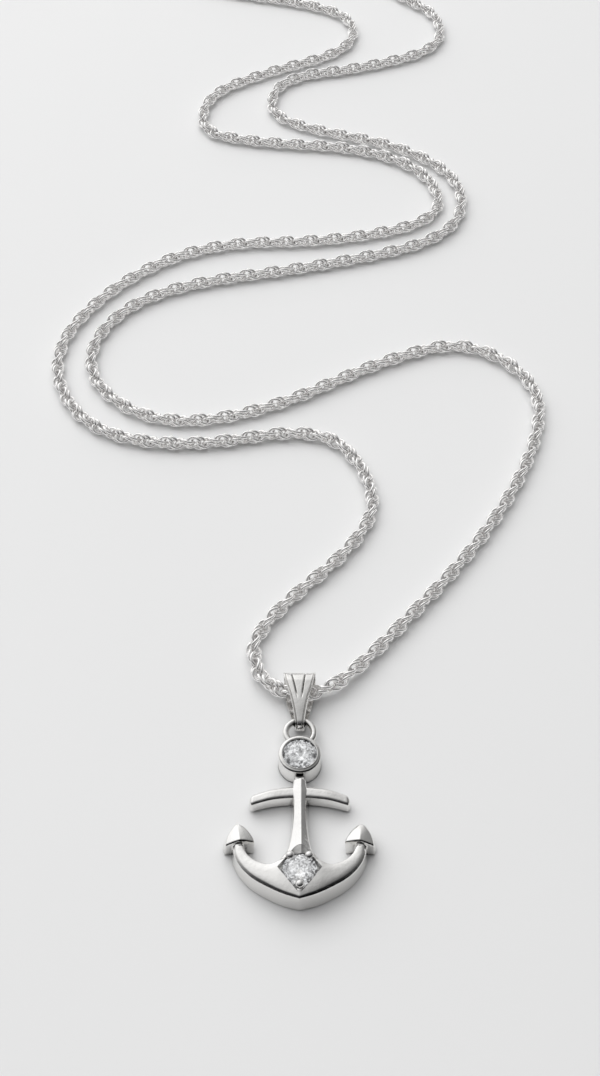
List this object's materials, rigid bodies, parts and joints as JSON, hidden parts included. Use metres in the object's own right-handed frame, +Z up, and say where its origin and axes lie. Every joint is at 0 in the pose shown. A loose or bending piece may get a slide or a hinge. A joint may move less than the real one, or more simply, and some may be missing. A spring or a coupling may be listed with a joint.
{
  "type": "anchor pendant necklace",
  "caption": "Silver anchor pendant with round stones and a tapered fluted bail, threaded on a long rope chain that lies in loose curves and closes in a barrel clasp.",
  "frame": {"origin": "on the anchor's flat back, under the centre of the crown stone", "axes": "+X to the right of the anchor, +Y from the crown tip towards the bail and the chain, +Z up from the surface that it lies on"},
  "size_m": [0.0641, 0.1886, 0.0031],
  "materials": {
    "polished_silver": "cast silver, tumbled and polished, soft mirror",
    "rope_silver": "drawn silver wire links, bright, darker in the gaps",
    "clear_stone": "colourless round brilliant, polished facets"
  },
  "bodies": {
    "root": {"anchor": "polished_silver", "bezel_stone": "clear_stone", "crown_stone": "clear_stone", "bail": "polished_silver", "rope_chain_left": "rope_silver", "rope_chain_right": "rope_silver", "clasp": "polished_silver"}
  },
  "joints": []
}
